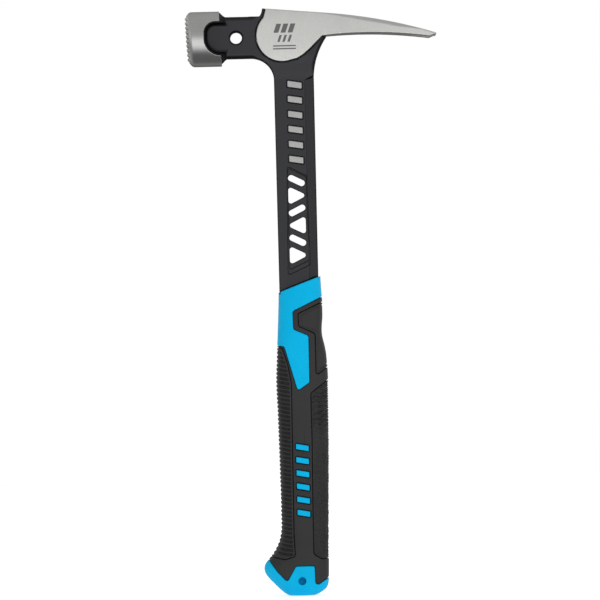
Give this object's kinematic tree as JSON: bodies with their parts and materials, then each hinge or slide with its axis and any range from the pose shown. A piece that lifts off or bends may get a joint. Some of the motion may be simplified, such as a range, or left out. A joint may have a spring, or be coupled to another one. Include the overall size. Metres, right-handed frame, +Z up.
{
  "type": "framing hammer",
  "caption": "One-piece forged framing hammer with a milled striking poll, a long straight rip claw, a windowed shank and a moulded two-colour grip.",
  "frame": {"origin": "centre of the small flat under the butt, on the axis of the handle", "axes": "+Z up the handle to the head, -X towards the striking face, +X towards the claw, Y across the thickness; the pictured side faces -Y"},
  "size_m": [0.1741, 0.0382, 0.407],
  "materials": {
    "bright_steel": "ground and brushed",
    "black_steel": "satin black coating on forged steel",
    "magnet": "plated",
    "blue_plastic": "semi-gloss moulded",
    "black_skin": "matt thermoplastic rubber",
    "black_pad": "matt textured thermoplastic rubber"
  },
  "bodies": {
    "root": {"poll": "bright_steel", "shank": "black_steel", "claw": "bright_steel", "magnet": "magnet", "shank_marks_front": "bright_steel", "shank_marks_back": "bright_steel", "grip_core": "blue_plastic", "butt_cap": "blue_plastic", "overmould": "black_skin", "finger_pad": "black_pad", "palm_pad": "black_pad", "thumb_pad": "black_pad", "grip_marks_front": "blue_plastic", "grip_marks_back": "blue_plastic"}
  },
  "joints": []
}
